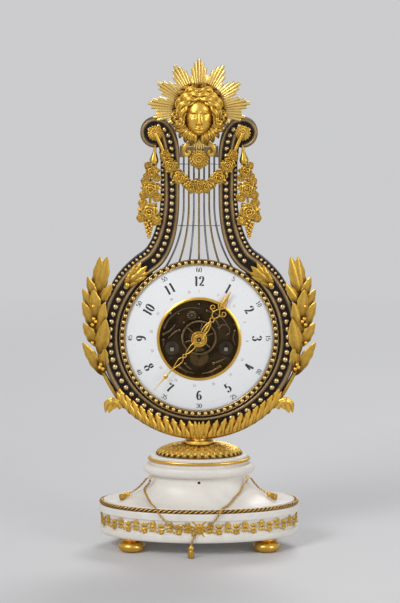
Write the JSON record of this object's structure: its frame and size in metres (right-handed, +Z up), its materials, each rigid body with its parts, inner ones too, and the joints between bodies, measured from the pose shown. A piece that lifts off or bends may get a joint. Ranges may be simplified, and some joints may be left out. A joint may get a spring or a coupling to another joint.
{
  "type": "lyre clock",
  "caption": "Table clock in the form of a lyre: oval stone base, gilt mounts, swinging gridiron pendulum as strings, open-centred enamel dial and a striking movement.",
  "frame": {"origin": "under the middle of the base, on the table", "axes": "+Z up along the lyre, the dial faces -Y, +X to the right of a person who reads the dial"},
  "size_m": [0.287, 0.1385, 0.606],
  "materials": {
    "marble": "polished white marble with grey veins",
    "gilt": "mercury-gilt bronze, burnished on the high places",
    "dull_gilt": "matt gilt bronze",
    "black": "polished dark stone-like body",
    "enamel": "white enamel, glossy",
    "brass": "plain brass",
    "steel": "polished steel",
    "bell_metal": "cast bell metal"
  },
  "bodies": {
    "case": {"feet": "gilt", "plinth": "marble", "plinth_frieze": "gilt", "rope_moulding": "gilt", "pedestal": "marble", "pedestal_cap": "marble", "cap_fillet": "gilt", "leaf_collar": "gilt", "tie_rod": "steel", "tie_nut": "steel", "chain_mounts": "gilt", "chain_left": "gilt", "chain_right": "gilt", "tail_left": "gilt", "tail_right": "gilt", "tassels": "gilt", "lyre_frame": "black", "fillets": "dull_gilt", "frame_beads": "gilt", "acanthus_apron": "gilt", "laurel_mounts": "gilt", "garland": "gilt", "flower_drops": "gilt", "yoke": "dull_gilt", "yoke_rosette": "gilt", "sunburst": "gilt", "mask": "gilt", "dial": "enamel", "dial_rim": "gilt", "bezel": "gilt", "front_plate": "brass", "back_plate": "brass", "back_cock": "brass", "movement_brackets": "brass", "bell": "bell_metal", "bell_stand": "brass"},
    "minute_hand_train": {"centre_wheel": "brass", "cannon_pinion": "brass", "minute_hand": "gilt"},
    "hour_hand_train": {"hour_wheel": "brass", "hour_hand": "gilt"},
    "minute_wheel": {"minute_wheel": "brass"},
    "intermediate": {"intermediate_wheel": "brass"},
    "going_barrel": {"going_barrel": "brass"},
    "third": {"third_wheel": "brass"},
    "escape": {"escape_wheel": "brass"},
    "anchor": {"anchor": "steel"},
    "pendulum": {"strings_steel": "steel", "strings_brass": "brass", "pendulum_head": "brass", "bob": "brass"},
    "going_arbor": {"going_arbor": "steel"},
    "strike_arbor": {"strike_arbor": "steel"},
    "going_click": {"going_click": "steel"},
    "strike_click": {"strike_click": "steel"},
    "strike_barrel": {"strike_barrel": "brass"},
    "second": {"second_wheel": "brass"},
    "pin": {"pin_wheel": "brass"},
    "fly": {"fly": "brass"},
    "hammer": {"hammer": "steel"}
  },
  "joints": [
    {"name": "minute_turn", "type": "hinge", "parent": "case", "child": "minute_hand_train", "pos_m": [0, 0, 0.263], "axis": [0, 1, 0], "continuous": true},
    {"name": "hour_turn", "type": "hinge", "parent": "case", "child": "hour_hand_train", "pos_m": [0, 0, 0.263], "axis": [0, 1, 0], "continuous": true},
    {"name": "minute_wheel_turn", "type": "hinge", "parent": "case", "child": "minute_wheel", "pos_m": [0, 0, 0.23888], "axis": [0, 1, 0], "continuous": true},
    {"name": "intermediate_turn", "type": "hinge", "parent": "case", "child": "intermediate", "pos_m": [0.01208, 0, 0.2471], "axis": [0, 1, 0], "continuous": true},
    {"name": "going_barrel_turn", "type": "hinge", "parent": "case", "child": "going_barrel", "pos_m": [0.033, 0, 0.25], "axis": [0, 1, 0], "continuous": true},
    {"name": "third_turn", "type": "hinge", "parent": "case", "child": "third", "pos_m": [0.01537, 0, 0.27567], "axis": [0, 1, 0], "continuous": true},
    {"name": "escape_turn", "type": "hinge", "parent": "case", "child": "escape", "pos_m": [0, 0, 0.28744], "axis": [0, 1, 0], "continuous": true},
    {"name": "pendulum_swing", "type": "hinge", "parent": "case", "child": "pendulum", "pos_m": [0, 0, 0.5114], "axis": [0, 1, 0], "range_deg": [-2, 2]},
    {"name": "anchor_rock", "type": "hinge", "parent": "case", "child": "anchor", "pos_m": [0, 0, 0.30441], "axis": [0, 1, 0], "range_deg": [-5.8, 5.8]},
    {"name": "going_winding", "type": "hinge", "parent": "case", "child": "going_arbor", "pos_m": [0.033, 0, 0.25], "axis": [0, 1, 0], "range_deg": [0, 1440]},
    {"name": "strike_winding", "type": "hinge", "parent": "case", "child": "strike_arbor", "pos_m": [-0.033, 0, 0.25], "axis": [0, -1, 0], "range_deg": [0, 1440]},
    {"name": "going_click_lift", "type": "hinge", "parent": "case", "child": "going_click", "pos_m": [0.03667, 0, 0.23628], "axis": [0, -1, 0], "range_deg": [0, 12]},
    {"name": "strike_click_lift", "type": "hinge", "parent": "case", "child": "strike_click", "pos_m": [-0.03667, 0, 0.23628], "axis": [0, 1, 0], "range_deg": [0, 12]},
    {"name": "pin_turn", "type": "hinge", "parent": "case", "child": "pin", "pos_m": [-0.01857, 0, 0.28147], "axis": [0, 1, 0], "continuous": true},
    {"name": "second_turn", "type": "hinge", "parent": "case", "child": "second", "pos_m": [-0.02059, 0, 0.26709], "axis": [0, 1, 0], "continuous": true},
    {"name": "strike_barrel_turn", "type": "hinge", "parent": "case", "child": "strike_barrel", "pos_m": [-0.033, 0, 0.25], "axis": [0, 1, 0], "continuous": true},
    {"name": "fly_turn", "type": "hinge", "parent": "case", "child": "fly", "pos_m": [-0.02492, 0, 0.29248], "axis": [0, 1, 0], "continuous": true},
    {"name": "hammer_lift", "type": "hinge", "parent": "case", "child": "hammer", "pos_m": [-0.035, 0, 0.293], "axis": [0, 1, 0], "range_deg": [0, 8]}
  ],
  "couplings": [
    {"joint": "hour_turn", "follows": "minute_turn", "ratio": 0.083333},
    {"joint": "minute_wheel_turn", "follows": "minute_turn", "ratio": -1},
    {"joint": "intermediate_turn", "follows": "minute_turn", "ratio": -0.125},
    {"joint": "going_barrel_turn", "follows": "minute_turn", "ratio": 0.020833},
    {"joint": "third_turn", "follows": "minute_turn", "ratio": -10},
    {"joint": "escape_turn", "follows": "minute_turn", "ratio": 120},
    {"joint": "second_turn", "follows": "pin_turn", "ratio": -0.125},
    {"joint": "strike_barrel_turn", "follows": "pin_turn", "ratio": 0.020833},
    {"joint": "fly_turn", "follows": "pin_turn", "ratio": -8},
    {"joint": "anchor_rock", "follows": "pendulum_swing", "ratio": 2.7781}
  ]
}
